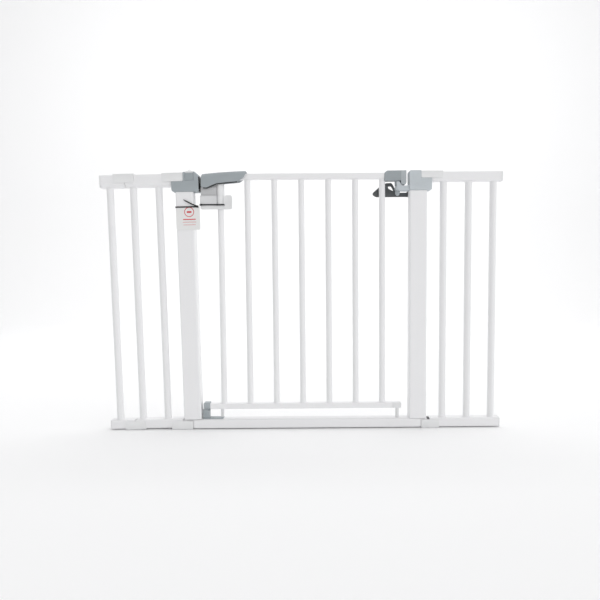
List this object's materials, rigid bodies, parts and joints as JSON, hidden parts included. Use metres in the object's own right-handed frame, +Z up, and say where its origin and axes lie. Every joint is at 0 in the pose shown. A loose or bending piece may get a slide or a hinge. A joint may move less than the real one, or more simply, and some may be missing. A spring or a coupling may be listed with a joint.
{
  "type": "safety baby gate",
  "caption": "Pressure-fit safety gate: barred door on self-closing rising hinges, lift-handle latch, splayed posts, clip-on side panels and a floor-level threshold.",
  "frame": {"origin": "under the middle of the gate's overall width and depth, at floor level", "axes": "+X along the gate from the latch side towards the hinge side, +Y to the back, away from the way the door opens, +Z up"},
  "size_m": [1.189, 0.0521, 0.7796],
  "materials": {
    "white_paint": "satin white powder coat",
    "white_plastic": "moulded white plastic, fine grain",
    "grey_plastic": "moulded mid grey plastic, fine grain",
    "pale_grey_plastic": "moulded pale grey plastic, fine grain",
    "dark_plastic": "moulded dark grey plastic",
    "steel": "plain zinc-plated steel",
    "black_nylon": "black nylon strap",
    "card": "coated white card with a red print"
  },
  "bodies": {
    "frame": {"threshold_bar": "white_paint", "right_post": "white_paint", "left_post": "white_paint", "left_outer_top_rail": "white_paint", "left_inner_top_rail": "white_paint", "left_outer_base_rail": "white_paint", "left_inner_base_rail": "white_paint", "left_outer_bar": "white_paint", "left_inner_bar_1": "white_paint", "left_inner_bar_2": "white_paint", "right_top_rail": "white_paint", "right_base_rail": "white_paint", "right_bar_1": "white_paint", "right_bar_2": "white_paint", "right_bar_3": "white_paint", "left_upper_end_cap": "white_plastic", "left_lower_end_cap": "white_plastic", "right_upper_end_cap": "white_plastic", "right_lower_end_cap": "white_plastic", "left_seam_top_clip": "white_plastic", "left_post_top_clip": "white_plastic", "left_seam_base_clip": "white_plastic", "left_post_base_clip": "white_plastic", "right_post_top_clip": "white_plastic", "right_post_base_clip": "white_plastic", "latch_housing_plug": "white_plastic", "lower_cam_seat": "white_plastic", "latch_housing": "grey_plastic", "lower_catch": "grey_plastic", "hinge_bracket": "pale_grey_plastic", "stopper_pin": "steel", "post_tie": "black_nylon", "gap_card": "card"},
    "door": {"door_top_rail": "white_paint", "door_bottom_rail": "white_paint", "door_bar_1": "white_paint", "door_bar_2": "white_paint", "door_bar_3": "white_paint", "door_bar_4": "white_paint", "door_bar_5": "white_paint", "door_bar_6": "white_paint", "door_bar_7": "white_paint", "hinge_cap": "grey_plastic", "hinge_shoe": "white_plastic", "lower_tongue": "grey_plastic", "lower_cam_riser": "white_plastic", "lock_housing": "white_plastic", "slide_casing": "white_plastic", "handle_pin": "steel", "handle_spring": "steel", "door_tie": "black_nylon"},
    "hinge_pins": {"upper_hinge_pin": "grey_plastic", "lower_hinge_pin": "steel"},
    "handle": {"handle": "grey_plastic", "drive_pin": "steel"},
    "bolt": {"latch_bolt": "dark_plastic"},
    "slide": {"safety_slide": "white_plastic"},
    "stopper": {"swing_stopper": "dark_plastic"}
  },
  "joints": [
    {"name": "door_swing", "type": "hinge", "parent": "frame", "child": "hinge_pins", "pos_m": [0.286, -0.0037, 0.03], "axis": [0, 0, 1], "range_deg": [0, 90]},
    {"name": "door_lift", "type": "slide", "parent": "hinge_pins", "child": "door", "axis": [0, 0, 1], "range_m": [0, 0.00413]},
    {"name": "handle_lift", "type": "hinge", "parent": "door", "child": "handle", "pos_m": [-0.283, -0.0037, 0.744], "axis": [0, -1, 0], "range_deg": [0, 25], "stiffness_Nm_per_rad": 0.6, "springref_deg": -20.05},
    {"name": "latch_bolt_slide", "type": "slide", "parent": "door", "child": "bolt", "axis": [1, 0, 0], "range_m": [0, 0.0064]},
    {"name": "safety_slide_travel", "type": "slide", "parent": "door", "child": "slide", "axis": [1, 0, 0], "range_m": [0, 0.01]},
    {"name": "stopper_turn", "type": "hinge", "parent": "frame", "child": "stopper", "pos_m": [0.334, -0.0037, 0.724], "axis": [0, -1, 0], "range_deg": [0, 60]}
  ],
  "couplings": [
    {"joint": "door_lift", "follows": "door_swing", "m_per_rad": 0.0025751},
    {"joint": "latch_bolt_slide", "follows": "handle_lift", "m_per_rad": 0.014528}
  ]
}
